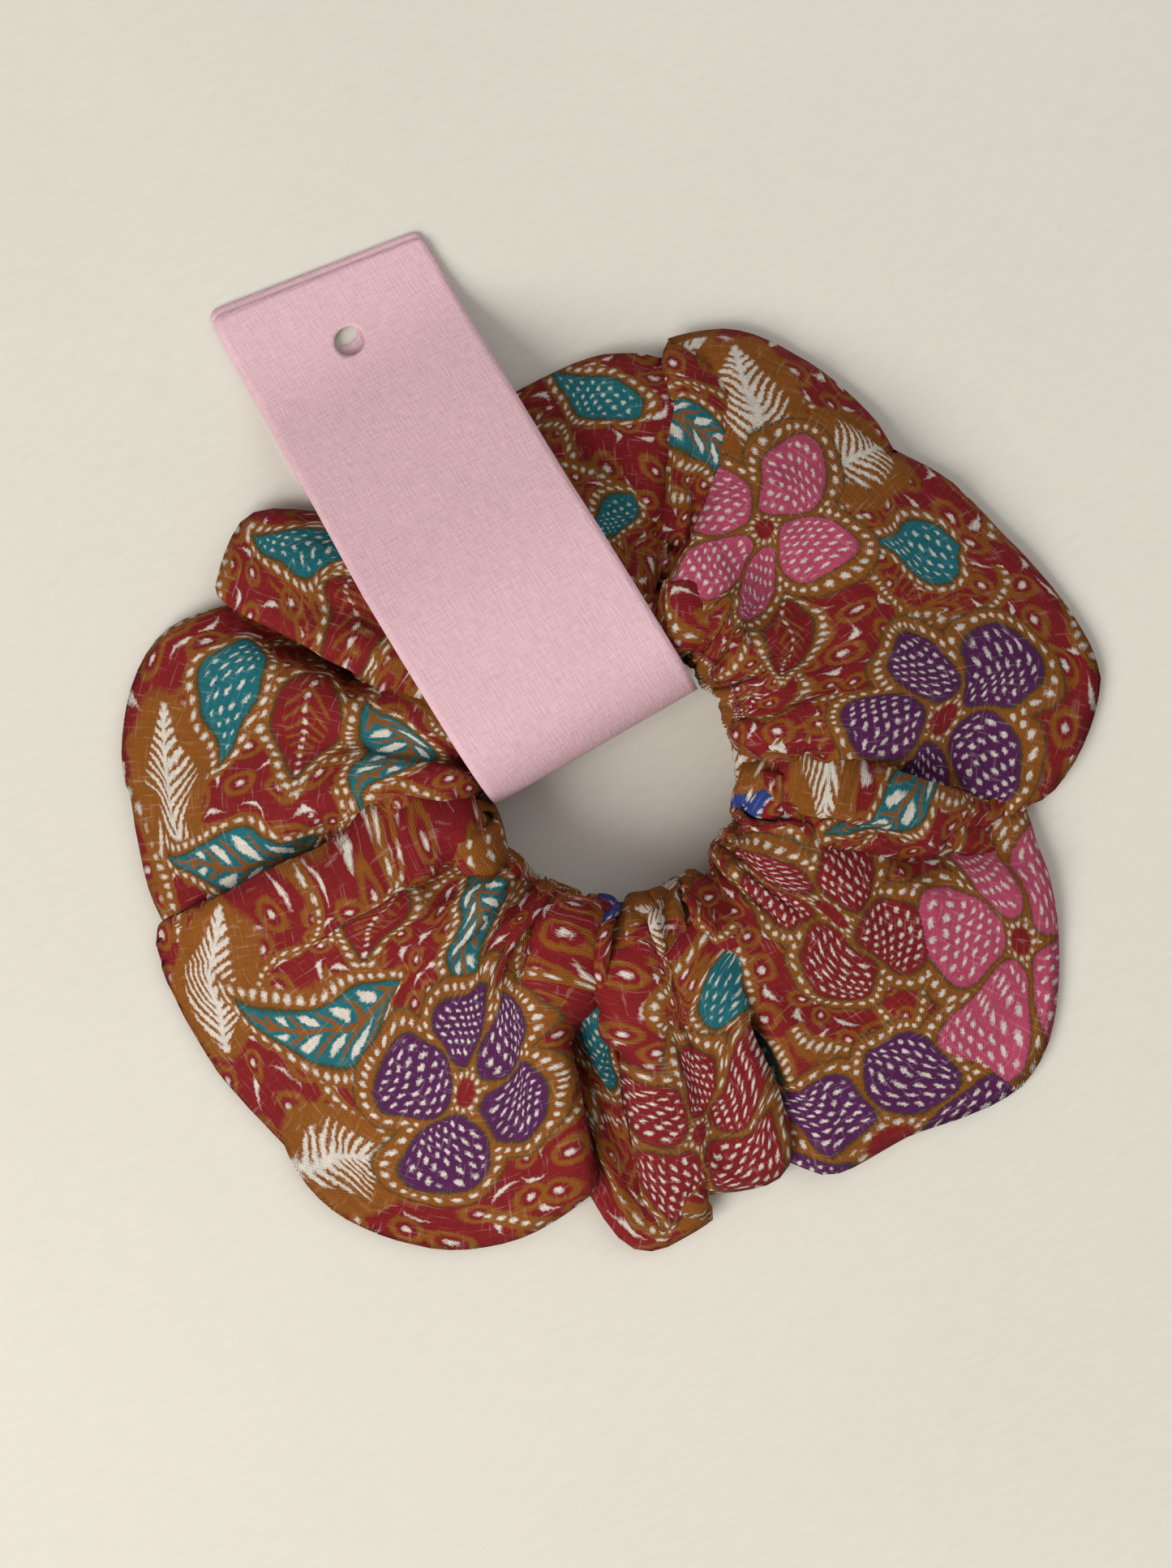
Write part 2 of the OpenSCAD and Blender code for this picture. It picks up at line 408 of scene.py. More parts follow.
def draw_leaves(f, inks, paint, places, length, width, bend, ink, inside):
    """Curved leaves edged in olive, ochre and waxed dots, filled with a vine, with ribs or with dots."""
    g = f.graph
    x, y, _ = nearest(f, places)
    x = x - y * y * bend
    t = y * (1 / length)
    w = (1 - t * t) * (1 + t * 0.5) * width
    d = (abs(x) - w) * 0.9
    d = g.maths("MAXIMUM", d, (abs(y) - length) * 0.9)
    paint = g.mix(f.inside(d - 2.0), paint, inks.ochre)
    paint = g.mix(dotted(f, d - 1.15, y, 1.4, 0.36), paint, inks.white)
    paint = g.mix(f.inside(d - 0.35), paint, inks.olive)
    paint = g.mix(f.inside(d), paint, ink)
    if inside == "vine":
        slope = y + abs(x) * 0.9
        stem = abs(x) - 0.36
        shoot = f.inside(g.maths("MINIMUM", stem, f.saw(slope + 1.9, 3.8) - 0.42 + abs(x) * 0.05))
        paint = g.mix(shoot * f.inside(d + 0.5), paint, inks.ochre)
        blade = f.saw(slope, 3.8) - 0.95 + abs(abs(x) - width * 0.5) * 0.5
        return g.mix(f.inside(blade) * f.inside(0.7 - abs(x)) * f.inside(d + 0.6), paint, inks.white)
    if inside == "ribs":
        rib = f.inside(f.saw(y + abs(x) * 0.8, 1.7) - 0.28) * f.inside(d + 1.5)
        paint = g.mix(rib, paint, inks.ochre)
        return g.mix(dotted(f, abs(x), y, 1.4, 0.3), paint, inks.white)
    dots = f.inside(f.hypot(f.saw(x + y * 0.5, DOT_PITCH), f.saw(y, DOT_PITCH)) - 0.29, 0.14)
    return g.mix(dots * f.inside(d + 0.75), paint, inks.white)


def draw_fronds(f, inks, paint, places, length, width):
    """White fern fronds on an ochre ground."""
    g = f.graph
    x, y, _ = nearest(f, places)
    t = y * (1 / length)
    w = (1.05 - abs(t)) * width
    strokes = f.saw(y - abs(x) * 0.9, 1.4) - 0.48 + abs(x) * (0.34 / width)
    strokes = f.inside(strokes, 0.14) * f.inside(abs(x) - w)
    strokes = g.maths("MAXIMUM", strokes, f.inside(abs(x) - 0.35))
    paint = g.mix(f.inside(f.hypot(x * (1 / (width + 1.8)), t * 0.92) * 8 - 8.2, 0.4), paint, inks.ochre)
    return g.mix(strokes * f.inside(abs(y) - length), paint, inks.white)


def printed_cotton(settings, cloth):
    """Plain-weave cotton with a hand-waxed print, laid out along the strip that the tube is sewn from."""
    g = Graph("printed_cotton")
    strip = g.node("ShaderNodeUVMap", {"uv_map": "Strip"})
    u, v = g.parts(g.out(strip, "UV"))
    u = u * (cloth.strip_length / MM)
    v = g.maths("FRACT", v) * (cloth.strip_width / MM)
    plain = Fabric(g, u, v)
    drift = g.noise(g.vector(u, v), 0.08, 1.0)
    drift_u, drift_v = g.parts(g.out(drift, "Color"))
    bleed = g.noise(g.vector(u, v), 2.4, 1.0)
    bleed_u, bleed_v = g.parts(g.out(bleed, "Color"))
    drawn_u = u + (drift_u - 0.5) * 6.0 + (bleed_u - 0.5) * 0.5
    drawn_v = v + (drift_v - 0.5) * 6.0 + (bleed_v - 0.5) * 0.5
    f = Fabric(g, drawn_u, drawn_v)
    paint = draw_ground(f, settings)
    paint = draw_fronds(f, settings, paint, FROND_PLACES, 8.5, 4.6)
    paint = draw_leaves(f, settings, paint, OVAL_PLACES, 8.0, 4.4, 0.0, settings.crimson, "ribs")
    paint = draw_leaves(f, settings, paint, BUD_PLACES, 7.5, 3.6, 0.03, settings.teal, "dots")
    paint = draw_leaves(f, settings, paint, VINE_PLACES, 11.0, 4.0, 0.03, settings.teal, "vine")
    inks = [getattr(settings, name) for _, name in FLOWER_PLACES]
    paint = draw_flowers(f, settings, paint, [place for place, _ in FLOWER_PLACES], inks, FLOWER_RADIUS)
    # inside the long seam the strip's other edge shows: ochre, fronds, blue and teal
    band = Fabric(g, f.u, v)
    other = g.mix(g.maths("LESS_THAN", f.saw(f.u - 252, 118.0), 6.0), settings.ochre, settings.blue)
    other = g.mix(dotted(band, band.saw(f.v - 97, 7.0) - 1.5, f.u, 1.4, 0.34), other, settings.white)
    edge_places = [(at_u, 103 + 1.5 * (-1) ** k, turn) for k, (at_u, turn) in enumerate(EDGE_FRONDS)]
    other = draw_fronds(f, settings, other, edge_places, 8.5, 5.4)
    paint = g.mix(band.inside(95.5 - v, 0.1), paint, other)
    # thread-by-thread colour, a few pale slubs, and slight fading
    warp = g.maths("SINE", u * (math.tau / THREAD_PITCH))
    weft = g.maths("SINE", v * (math.tau / THREAD_PITCH))
    cross = warp * weft
    slub = g.grain(g.vector(u * 0.25, v * 2.6), 1.0, 2.0)
    slub_v = g.grain(g.vector(u * 2.6, v * 0.25), 1.0, 2.0)
    fade = g.grain(g.vector(u, v), 0.035, 3.0)
    lift = 0.9 + cross * 0.16 + (slub - 0.5) * 0.3 + (slub_v - 0.5) * 0.3 + (fade - 0.5) * 0.2
    paint = g.tint(paint, lift)
    pale = plain.inside(0.7 - slub, 0.06) * 0.12 + plain.inside(0.7 - slub_v, 0.06) * 0.12
    paint = g.mix(pale, paint, settings.white)
    weave = g.bump(cross * 0.5 + slub * 0.8 + slub_v * 0.8, 0.00012, 0.55)
    rumple = g.grain(g.vector(u, v), 0.22, 3.0)
    crumple = g.bump(rumple, 0.0011, 0.6, weave)
    return g.surface(base_color=paint, roughness=0.9 - lift * 0.06, normal=crumple, specular_ior_level=0.2)


def linen_card(settings):
    """Card with a fine crossed emboss, like linen."""
    g = Graph("linen_card")
    place = g.node("ShaderNodeUVMap", {"uv_map": "Strip"})
    u, v = g.parts(g.out(place, "UV"))
    u, v = u * (1 / MM), v * (1 / MM)
    run = g.grain(g.vector(u * 0.45, v * 3.6), 1.0, 2.0)
    rise = g.grain(g.vector(u * 3.6, v * 0.45), 1.0, 2.0)
    blotch = g.grain(g.vector(u, v), 0.12, 3.0)
    threads = run + rise
    paint = g.tint(settings.colour, 0.93 + (threads - 1.0) * 0.22 + (blotch - 0.5) * 0.05)
    normal = g.bump(threads, 0.00009, 0.8)
    return g.surface(base_color=paint, roughness=0.72 + (threads - 1.0) * 0.2, normal=normal)


def spun_thread():
    """Spun polyester, with its twist."""
    g = Graph("spun_thread")
    place = g.node("ShaderNodeTexCoord")
    x, y = g.parts(g.out(place, "Object"))
    twist = g.maths("SINE", (x + y * 0.6) * (math.tau / 0.0005))
    paint = g.mix(twist * 0.5 + 0.5, (0.16, 0.012, 0.02), (0.3, 0.03, 0.045))
    return g.surface(base_color=paint, roughness=0.6, normal=g.bump(twist, 0.00004, 0.6))


def braided_elastic():
    """White braided elastic."""
    g = Graph("braided_elastic")
    place = g.node("ShaderNodeTexCoord")
    made = g.node("ShaderNodeSeparateXYZ", None, {"Vector": g.out(place, "Object")})
    x, y, z = (g.out(made, axis) for axis in "XYZ")
    angle = g.maths("ARCTAN2", y - float(ring_centre()[1]), x)
    braid = g.maths("SINE", angle * 160.0 + z * 4200.0) * g.maths("SINE", angle * 160.0 - z * 4200.0)
    paint = g.mix(braid * 0.5 + 0.5, (0.52, 0.51, 0.47), (0.78, 0.77, 0.73))
    return g.surface(base_color=paint, roughness=0.75, normal=g.bump(braid, 0.0001, 0.7))


def table_top():
    """A plain pale table, with the faintest weave."""
    g = Graph("table_top")
    place = g.node("ShaderNodeTexCoord")
    x, y = g.parts(g.out(place, "Object"))
    x, y = x * (1 / MM), y * (1 / MM)
    weave = g.grain(g.vector(x * 0.25, y * 1.4), 1.0, 3.0)
    tone = g.grain(g.vector(x, y), 0.012, 2.0)
    paint = g.tint((0.675, 0.645, 0.575), 0.97 + (weave - 0.5) * 0.08 + (tone - 0.5) * 0.08)
    return g.surface(base_color=paint, roughness=0.7)


# ---------------------------------------------------------------- the cloth's shape


def ring_centre():
    """Middle of the cloth ring, on the table."""
    low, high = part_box("cover")
    return np.array([(low[0] + high[0]) / 2, (low[1] + high[1]) / 2, 0.0])


# Each fold of the ring: whether it lies over its neighbours, its share of the loft, the angles that it
# takes at the inner edge, and its outer edge as (angle, radius), in degrees and millimetres.
FOLDS = [
    (False, 0.85, (46, 88), [(46, 53), (49, 55), (62, 54), (74, 51), (88, 49)]),
    (True, 0.90, (88, 122), [(86, 49), (100, 49), (107, 50), (114, 58.5), (120, 57.5), (126, 55.5)]),
    (False, 1.00, (122, 172),
     [(126, 54), (129, 57), (134, 61), (141, 62.5), (149, 63), (160, 61), (168, 60.5)]),
    (True, 1.00, (172, 226),
     [(168, 61), (170, 62.5), (185, 63.5), (197, 64), (207, 66.5), (220, 65), (228, 61.5), (238, 54)]),
    (False, 0.80, (226, 246), [(236, 52), (239, 57), (243, 62), (245, 62)]),
    (True, 1.00, (246, 272), [(244.5, 56), (246.5, 62.5), (249, 57), (254, 56), (264, 57.5), (268, 51)]),
    (False, 0.95, (272, 316),
     [(266, 55), (268, 59), (280, 60), (290, 65.5), (296, 66.5), (301, 65), (313, 60), (319, 57)]),
    (True, 0.95, (316, 336), [(309, 42), (313, 46), (320, 49), (326, 51)]),
    (False, 1.10, (336, 406),
     [(324, 54), (328, 58), (336, 62), (343, 64.5), (360, 59), (377, 56.5), (396, 59), (404, 59.5)]),
]
OUTER_RADIUS = 58.0     # mm, where the folds are measured along the outer edge
TUCK_OUTER = 9.0        # mm of cloth hidden under a fold at the outer edge
INNER_RADIUS = 15.9     # mm, of the opening
UNDER, BETWEEN, OVER = (0.0, 0.34), (0.34, 0.66), (0.66, 1.0)   # shares of the height in a three-ply lap
CLEARANCE = 0.0009      # m, between the cloth and the card or the elastic
CARD_CREST = 0.0199     # m, height over the table past which the card comes down again
LEAST_CEILING = 0.0022  # m, of the card over the cloth at the ring's outer edge
OPENING_RADIUS = 0.0153     # m, inside which no cloth lies
ELASTIC_RADIUS = 0.0262     # m, of the elastic's middle, and how far off the cloth still stands open for it
ELASTIC_REACH = 0.0035


def smooth(row, passes):
    """Three-point smoothing round a closed row."""
    for _ in range(passes):
        row = (np.roll(row, 1, 0) + 2 * row + np.roll(row, -1, 0)) / 4
    return row


def ease(value):
    value = min(max(value, 0.0), 1.0)
    return value * value * (3 - 2 * value)


def fold_corners():
    """The folded tube seen along its edge, as rows of outer angle, outer radius, inner angle, floor and
    roof of the ply, loft, and how far the fold has opened up."""
    hide_outer = math.degrees(TUCK_OUTER / OUTER_RADIUS)
    rows = []
    for over, loft, (inner_a, inner_b), outline in FOLDS:
        first, last = outline[0][0], outline[-1][0]
        points = list(outline)
        if not over:
            tucked = [(first - hide_outer, points[0][1] - 3), (last + hide_outer, points[-1][1] - 3)]
            points = [tucked[0], *points, tucked[1]]
        start, end = points[0][0], points[-1][0]
        angles = np.unique(np.concatenate([np.arange(start, end, 3.0), [p[0] for p in points]]))
        radii = np.interp(angles, [p[0] for p in points], [p[1] for p in points])
        inner = np.interp(angles, [start, end], [inner_a, inner_b])
        rows.append((start, radii[0], inner[0], *BETWEEN, loft, 0.0))
        for angle, radius, inside in zip(angles, radii, inner):
            opened = ease(min(angle - first, last - angle) / 8.0)
            low = OVER[0] * (1 - opened) if over else 0.0
            high = OVER[1] if over else UNDER[1] + (0.95 - UNDER[1]) * opened
            rows.append((angle, radius, inside, low, high, loft, opened))
        rows.append((end, radii[-1], inner[-1], *BETWEEN, loft, 0.0))
    closing = list(rows[0])
    closing[0] += 360
    closing[2] += 360
    return np.array([*rows, closing])


def tube_path(columns):
    """The folded tube's columns, evenly spaced along the cloth, and the tilt of the cloth at each."""
    lift = 9.0
    corners = fold_corners()
    run = np.radians(corners[:, 0]) * OUTER_RADIUS
    rise = (corners[:, 3] + corners[:, 4]) / 2 * lift
    length = np.concatenate([[0], np.cumsum(np.hypot(np.diff(run), np.diff(rise)))])
    at = np.linspace(0, length[-1], columns, endpoint=False)
    path = np.stack([np.interp(at, length, column) for column in corners.T], 1)
    steady = np.linspace(0, 360, columns, endpoint=False)
    for k in (0, 2):
        path[:, k] = smooth(path[:, k] - steady, 3) + steady
    for k in (3, 4):
        path[:, k] = smooth(path[:, k], 3)
    for k in (1, 5, 6):
        path[:, k] = smooth(path[:, k], 2)
    run = np.radians(path[:, 0]) * OUTER_RADIUS
    rise = (path[:, 3] + path[:, 4]) / 2 * lift
    d_run = np.roll(run, -1) - np.roll(run, 1)
    d_run[[0, -1]] += math.tau * OUTER_RADIUS
    d_rise = np.roll(rise, -1) - np.roll(rise, 1)
    return path, np.arctan2(d_rise, d_run)


def waves(turns, seed, counts, cusped=False):
    """Unevenness round the ring in whole numbers of waves: smooth, or round crests and sharp valleys."""
    random = np.random.default_rng(seed)
    total = np.zeros_like(turns)
    for count in counts:
        size, angle = random.normal(1, 0.35), math.tau * (count * turns + random.random())
        total += size * (2 * np.abs(np.sin(angle / 2)) - 1.27 if cusped else np.sin(angle))
    return total / math.sqrt(len(counts))


def gathered_tube(settings):
    """Points of the cloth tube before it settles, in metres about the ring's middle: columns by rows."""
    columns, rows = settings.columns, settings.rows
    path, tilt = tube_path(columns)
    half = rows // 2
    row = np.arange(rows)
    out_share = np.where(row <= half, row / half, (rows - row) / half)
    side = np.where(row <= half, 1.0, -1.0)
    side[[0, half]] = 0.0
    turns, out = np.meshgrid(np.arange(columns) / columns, out_share, indexing="ij")
    outer_angle, outer_radius, inner_angle, low, high, loft, opened = (path[:, k:k + 1] for k in range(7))
    # round the elastic every ply stands open; further out the folds lie over each other
    closing = np.clip((out - 0.22) / 0.3, 0, 1)
    closing = closing * closing * (3 - 2 * closing)
    low = low * closing
    high = 0.97 + (high - 0.97) * closing
    # the section is a teardrop: a round nose at the opening, tapering to the crisp outer edge
    nose_share, nose_radius = 0.23, 7.0
    nose = np.clip(out / nose_share, 0, 1) * math.pi / 2
    taper = np.clip((out - nose_share) / (1 - nose_share), 0, 1)
    inner_radius = INNER_RADIUS + 0.9 * waves(turns[:, :1], 5, (7, 11, 17)).clip(-0.6, 3)
    past_nose = inner_radius + nose_radius
    radius = np.where(
        out < nose_share, inner_radius + nose_radius * (1 - np.cos(nose)),
        past_nose + (outer_radius - past_nose) * taper ** 0.97,
    )
    height = settings.loft / MM * loft * (1 - taper ** 1.5) + 1.2 + 2.6 * (1 - opened)
    brim = np.clip((out - 0.93) / 0.07, 0, 1)
    close = np.sin(nose) * np.sqrt(1 - brim ** 2)
    ply = (high - low) / 2 * 0.9
    angle = np.radians(inner_angle + (outer_angle - inner_angle) * out ** 0.9)
    # gathers: the finest fade first on their way outwards
    gathers = (
        2.0 * np.exp(-(out / 0.30) ** 2) * waves(turns, 6, (34, 41, 45), True)
        + 2.1 * np.exp(-(out / 0.62) ** 2) * waves(turns + 0.006 * out, 7, (17, 22, 28), True)
        + 0.8 * np.exp(-(out / 1.0) ** 2) * waves(turns + 0.01 * out, 8, (9, 13, 31))
    ) * (0.45 + 0.55 * np.clip(ply / 0.4, 0, 1))
    off = side * ply * height * close + gathers
    back = -np.sin(tilt)[:, None] * off
    x = radius * np.cos(angle) - np.sin(angle) * back
    y = radius * np.sin(angle) + np.cos(angle) * back
    z = (low + high) / 2 * height + np.cos(tilt)[:, None] * off
    floor = 0.6
    z = np.where(z < floor, floor * np.exp((z - floor) / floor * 0.5), z)
    points = np.stack([x, y, z], -1) * MM
    points[..., 2] += settings.gap
    return points


def grid_faces(columns, rows, first=0, flip=False):
    """Faces of a grid of points that closes on itself both ways."""
    index = np.arange(columns * rows).reshape(columns, rows) + first
    ahead = np.roll(index, -1, 0)
    corners = [index, ahead, np.roll(ahead, -1, 1), np.roll(index, -1, 1)]
    if flip:
        corners.reverse()
    return np.stack(corners, -1).reshape(-1, 4)


def new_object(name, points, faces, material=None):
    mesh = bpy.data.meshes.new(name)
    places = np.asarray(points).reshape(-1, 3).tolist()
    mesh.from_pydata(places, [], [list(map(int, face)) for face in faces])
    mesh.polygons.foreach_set("use_smooth", [True] * len(mesh.polygons))
    if material:
        mesh.materials.append(material)
    made = bpy.data.objects.new(name, mesh)
    bpy.context.collection.objects.link(made)
    return made


def settle(points, frames=18, scale=10.0):
    """Lets the cloth slacken, wrinkle and lie down on the table by cloth simulation."""
    columns, rows = points.shape[:2]
    cloth = new_object("settling_cloth", points * scale, grid_faces(columns, rows))
    half = rows // 2
    pins = cloth.vertex_groups.new(name="pins")
    for row in range(rows):
        out = min(row, rows - row) / half
        weight = 0.9 if out < 0.06 else 0.25 if out > 0.9 else 0.03
        pins.add([column * rows + row for column in range(columns)], weight, "REPLACE")
    table = new_object("settling_table", [(-3, -3, 0), (3, -3, 0), (3, 3, 0), (-3, 3, 0)], [(0, 1, 2, 3)])
    table.modifiers.new("Collision", "COLLISION")
    table.collision.thickness_outer = 0.006
    modifier = cloth.modifiers.new("Cloth", "CLOTH")
    feel = modifier.settings
    feel.quality = 6
    feel.mass = 0.02
    feel.tension_stiffness = 8
    feel.compression_stiffness = 8
    feel.shear_stiffness = 3
    feel.bending_stiffness = 0.02
    feel.bending_damping = 0.5
    feel.vertex_group_mass = "pins"
    feel.pin_stiffness = 2.0
    feel.shrink_min = -0.06
    feel.shrink_max = -0.06
    feel.effector_weights.gravity = 0.15
    contact = modifier.collision_settings
    contact.distance_min = 0.006
    contact.collision_quality = 2
    contact.use_self_collision = True
    contact.self_distance_min = 0.006
    modifier.point_cache.frame_start = 1
    modifier.point_cache.frame_end = frames
    scene = bpy.context.scene
    for number in range(1, frames + 1):
        scene.frame_set(number)
    settled = cloth.evaluated_get(bpy.context.evaluated_depsgraph_get()).to_mesh()
    flat = np.empty(len(settled.vertices) * 3)
    settled.vertices.foreach_get("co", flat)
    for used in (cloth, table):
        bpy.data.objects.remove(used)
    scene.frame_set(1)
    return flat.reshape(columns, rows, 3) / scale


def refine(points, axis):
    """Doubles the points along one closed direction, on a smooth curve through the grid."""
    ahead, behind = np.roll(points, -1, axis), np.roll(points, 1, axis)
    kept = (behind + 6 * points + ahead) / 8
    between = (points + ahead) / 2
    return np.stack([kept, between], axis + 1).reshape(
        points.shape[0] * (2 if axis == 0 else 1), points.shape[1] * (2 if axis == 1 else 1), 3
    )


def grid_normals(points):
    along = np.roll(points, -1, 0) - np.roll(points, 1, 0)
    across = np.roll(points, -1, 1) - np.roll(points, 1, 1)
    normal = np.cross(along, across)
    return normal / np.linalg.norm(normal, axis=-1, keepdims=True).clip(1e-12)


def keep_clear(points, card):
    """Holds the cloth under the card's front leaf, outside the opening and round the elastic."""
    rows = points.shape[1]
    line = card_routes(card)[1] - (ring_centre()[1], 0)
    line = line[np.argmax(line[:, 1] > CARD_CREST):]
    radius = np.hypot(points[..., 0], points[..., 1])
    ceiling = np.interp(radius, line[:, 0], line[:, 1]).clip(LEAST_CEILING) - CLEARANCE
    height = points[..., 2] / ceiling
    easy = 0.86
    over = np.clip(height - easy, 0, None)
    held = np.where(height > easy, easy + (1 - easy) * np.tanh(over / (1 - easy)), height)
    points[..., 2] = held * ceiling
    widened = np.maximum(radius, OPENING_RADIUS)
    points[..., :2] *= (widened / radius)[..., None]
    low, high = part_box("elastic_band")
    upper = np.arange(rows) <= rows // 2
    near = np.exp(-((radius - ELASTIC_RADIUS) / ELASTIC_REACH) ** 4)
    roof = high[2] + CLEARANCE
    floor = low[2] - CLEARANCE
    z = points[..., 2]
    points[..., 2] = z + near * np.where(upper, np.clip(roof - z, 0, None), -np.clip(z - floor, 0, None))


# Where the seam rolls up into sight: the turn of the ring, its spread, and the reach in millimetres.
SEAM_BENDS = [(0.805, 0.035, 10.0), (0.563, 0.022, 8.0), (0.06, 0.03, 4.0)]


def seam_rows(settings, columns, rows):
    """Where the long seam lies in each column: the tube is rolled a little differently all round."""
    turns = np.arange(columns) / columns
    rolled = 1.2 * waves(turns, 3, (2, 5, 9))
    for middle, spread, reach in SEAM_BENDS:
        apart = (turns - middle + 0.5) % 1 - 0.5
        rolled += reach * np.exp(-(apart / spread) ** 2)
    return (settings.seam_from_edge / MM + rolled) * MM / settings.strip_width * rows


def creases(turns, rows):
    """Height of the sharp gathers that run outwards from the elastic over the top face, in metres."""
    row = np.arange(rows)
    out = np.minimum(row, rows - row) / (rows / 2)
    top = np.where(row <= rows // 2, 1.0, 0.35) * np.clip(out / 0.12, 0, 1)
    turns, out = np.meshgrid(turns, out, indexing="ij")
    fine = 0.45 * np.exp(-(out / 0.4) ** 2) * waves(turns + 0.012 * out, 21, (37, 49), True)
    long = 0.75 * np.exp(-(out / 0.7) ** 4) * waves(turns - 0.02 * out ** 2, 22, (15, 23), True)
    patchy = 0.65 + 0.35 * waves(turns, 23, (3, 5))
    return (fine + long) * patchy * top * MM


def cover_layers(points, settings):
    """The cloth's outer face, with its sewn groove, and its inner face, as two grids of points."""
    outer = refine(refine(points, 0), 1)
    normal = grid_normals(outer)
    columns, rows = outer.shape[:2]
    seam = seam_rows(settings, columns, rows)
    turns = np.arange(columns) / columns
    outer += normal * creases(turns, rows)[..., None]
    pucker = 0.5 + 0.5 * np.sin(math.tau * 190 * turns) + 0.3 * waves(turns, 12, (83, 131))
    away = (np.arange(rows) - seam[:, None] + rows / 2) % rows - rows / 2
    lift = np.interp(away, [-5, -3.5, -2, -1, 0, 1, 2.5], [0, 0.12, 0.14, 0.02, -0.34, -0.02, 0])
    lift += 0.07 * pucker[:, None] * np.exp(-(away / 3.0) ** 2)
    outer += normal * (lift * MM)[..., None]
    return outer, outer[::2, ::2] - normal[::2, ::2] * settings.thickness


def grid_uv(columns, rows, seam=None):
    """Places of each face's corners on the grid, from 0 to 1, measured from the seam if it is given."""
    column, row = np.meshgrid(np.arange(columns), np.arange(rows), indexing="ij")
    start = np.zeros(columns + 1) if seam is None else np.append(seam, seam[0])
    places = [
        np.stack([(column + a) / columns, (row + b - start[column + a]) / rows], -1)
        for a, b in ((0, 0), (1, 0), (1, 1), (0, 1))
    ]
    return np.stack(places, 2).reshape(-1, 4, 2)


def put_uv(made, name, values):
    layer = made.data.uv_layers.new(name=name)
    layer.data.foreach_set("uv", np.asarray(values, dtype=np.float32).ravel())


def build_cover(settings, card, material):
    """The gathered cotton tube as one sheet of cloth with two faces."""
    points = gathered_tube(settings)
    points = settle(points)
    points[..., 2] = np.maximum(points[..., 2], settings.gap)
    keep_clear(points, card)
    outer, inner = cover_layers(points, settings)
    centre = ring_centre()
    columns, rows = outer.shape[:2]
    seam = seam_rows(settings, columns, rows)
    faces = np.concatenate([
        grid_faces(columns, rows),
        grid_faces(columns // 2, rows // 2, columns * rows, flip=True),
    ])
    both = np.concatenate([outer.reshape(-1, 3), inner.reshape(-1, 3)])
    cover = new_object("gathered_cover", both + centre, faces, material)
    halved = (columns // 2, rows // 2)
    outer_uv, inner_uv = grid_uv(columns, rows, seam), grid_uv(*halved, seam[::2] / 2)[:, ::-1]
    put_uv(cover, "Strip", np.concatenate([outer_uv, inner_uv]))
    # the outer face takes the lower four fifths of the baked square, and the inner face the rest
    outer_uv = grid_uv(columns, rows) * (0.998, 0.79) + (0.001, 0.002)
    inner_uv = grid_uv(*halved)[:, ::-1] * (0.998, 0.19) + (0.001, 0.802)
    put_uv(cover, "OFBake", np.concatenate([outer_uv, inner_uv]))
    cover.data.uv_layers["Strip"].active_render = True
    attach(cover, RING_BODY)
    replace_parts(cover, "cover")
    return outer + centre


def stitch_tubes(name, paths, radius, material, sides=6):
    """One piece of thread: a short tube for each path of points."""
    points, faces = [], []
    for path in paths:
        path = np.asarray(path)
        along = np.gradient(path, axis=0)
        along /= np.linalg.norm(along, axis=1, keepdims=True).clip(1e-12)
        across = np.cross(along, (0, 0, 1.0))
        across /= np.linalg.norm(across, axis=1, keepdims=True).clip(1e-12)
        up = np.cross(across, along)
        first = len(points)
        for k in range(len(path)):
            girth = radius * (0.35 if k in (0, len(path) - 1) else 1.0)
            for turn in np.arange(sides) * (math.tau / sides):
                points.append(path[k] + girth * (math.cos(turn) * across[k] + math.sin(turn) * up[k]))
        for k in range(len(path) - 1):
            for s in range(sides):
                a, b = first + k * sides + s, first + k * sides + (s + 1) % sides
                faces.append((a, a + sides, b + sides, b))
        faces.append(tuple(range(first, first + sides)))
        faces.append(tuple(reversed(range(first + (len(path) - 1) * sides, first + len(path) * sides))))
    thread = new_object(name, points, faces, material)
    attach(thread, RING_BODY)
    return thread


def build_stitching(outer, settings, material):
    """Lockstitch down the long seam's groove and across the closing seam: two threads each."""
    columns, rows = outer.shape[:2]
    normal = grid_normals(outer)
    seam = seam_rows(settings, columns, rows)
    closing = columns // 12
    radius = 0.00011

    def run(line, ups, depth, first):
        """Short stitches along a line of the cloth, each two steps long, dipping at its ends."""
        stitches = []
        for k in range(first, len(line) - 3, 3):
            dip = np.array([-0.9, 0.2, 0.2, -0.9])[:, None] * radius
            stitches.append(line[k:k + 4] + ups[k:k + 4] * (depth + dip))
        return stitches

    base = np.floor(seam).astype(int)
    share = (seam - base)[:, None]
    column = np.arange(columns)
    long_line, long_up = (
        grid[column, base % rows] * (1 - share) + grid[column, (base + 1) % rows] * share
        for grid in (outer, normal)
    )
    closing_line, closing_up = outer[closing], normal[closing]
    pieces = {
        "long_seam_needle": (run(long_line, long_up, 0.00006, 0), "long_seam_needle_thread"),
        "long_seam_bobbin": (run(long_line, long_up, -0.00055, 1), "long_seam_bobbin_thread"),
        "closing_seam_needle": (run(closing_line, closing_up, -0.00004, 0), "closing_seam_needle_thread"),
        "closing_seam_bobbin": (run(closing_line, closing_up, -0.00055, 1), "closing_seam_bobbin_thread"),
    }
    for name, (paths, node) in pieces.items():
        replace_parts(stitch_tubes(name, paths, radius, material), node)


# ---------------------------------------------------------------- the hang tag


HOLE_RADIUS = 0.0020    # m
CARD_CORNER = 0.0014    # m, radius of the card's corners
END_SKEW = 0.15         # how far the end is out of square, as a slope over its last stretch
SKEWED_END = 0.006      # m


